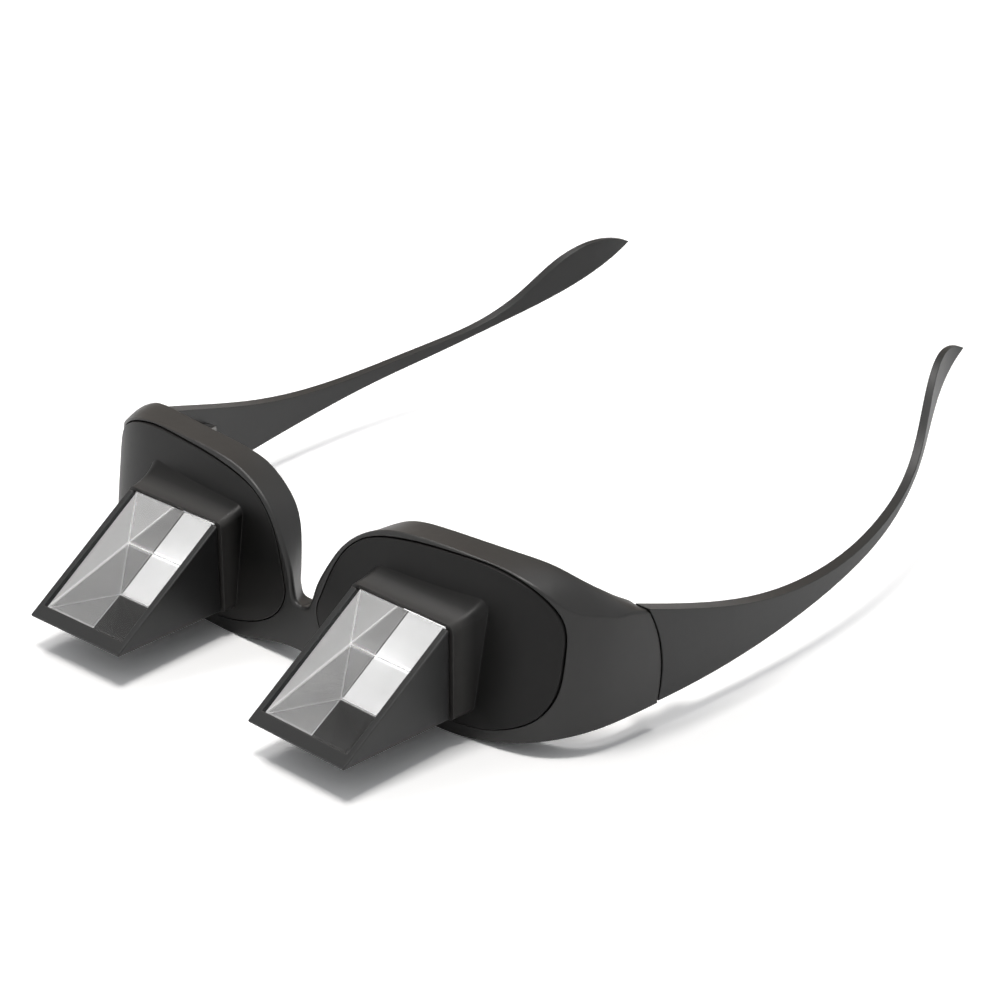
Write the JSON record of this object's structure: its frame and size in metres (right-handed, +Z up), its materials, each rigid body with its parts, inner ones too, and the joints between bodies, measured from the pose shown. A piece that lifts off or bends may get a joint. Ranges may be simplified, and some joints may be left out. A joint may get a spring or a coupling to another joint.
{
  "type": "prism bed glasses",
  "caption": "Wraparound glasses whose wedge prisms bend the view down a right angle, for reading or watching a screen while lying flat, with folding leaf-shaped temples.",
  "frame": {"origin": "On the resting plane, below the middle of the whole pair. The pair stands as pictured, upside down to how it is worn: brow edge down, nose notch up.", "axes": "+X is towards the wearer's right eye side, the near side in the picture, +Y runs back along the temples, +Z is up. The lenses face -Y."},
  "size_m": [0.1434, 0.1888, 0.0362],
  "materials": {
    "satin_black": "satin moulded black plastic with soft edges",
    "plate_black": "fine matte black moulded plastic",
    "optical_glass": "polished faces, ground grey sides and white ground bevels",
    "silvered_back": "silvered face under the long leg",
    "hinge_steel": "bright stamped steel",
    "screw_steel": "small steel screws"
  },
  "bodies": {
    "front": {"front_frame": "satin_black", "front_panel_right": "satin_black", "front_panel_left": "satin_black", "prism_housing_right": "satin_black", "prism_housing_left": "satin_black", "prism_right": "optical_glass", "prism_left": "optical_glass", "prism_mirror_right": "silvered_back", "prism_mirror_left": "silvered_back", "eye_plate_right": "plate_black", "eye_plate_left": "plate_black", "eye_plate_screws_right": "screw_steel", "eye_plate_screws_left": "screw_steel", "hinge_front_leaf_right": "hinge_steel", "hinge_front_leaf_left": "hinge_steel", "hinge_screw_right": "screw_steel", "hinge_screw_left": "screw_steel"},
    "temple_right": {"temple_right": "satin_black", "hinge_temple_leaf_right": "hinge_steel"},
    "temple_left": {"temple_left": "satin_black", "hinge_temple_leaf_left": "hinge_steel"}
  },
  "joints": [
    {"name": "hinge_right", "type": "hinge", "parent": "front", "child": "temple_right", "pos_m": [0.0637, -0.03524, 0.0156], "axis": [0, 0, 1], "range_deg": [0, 80]},
    {"name": "hinge_left", "type": "hinge", "parent": "front", "child": "temple_left", "pos_m": [-0.0637, -0.03524, 0.0156], "axis": [0, 0, -1], "range_deg": [0, 70]}
  ]
}
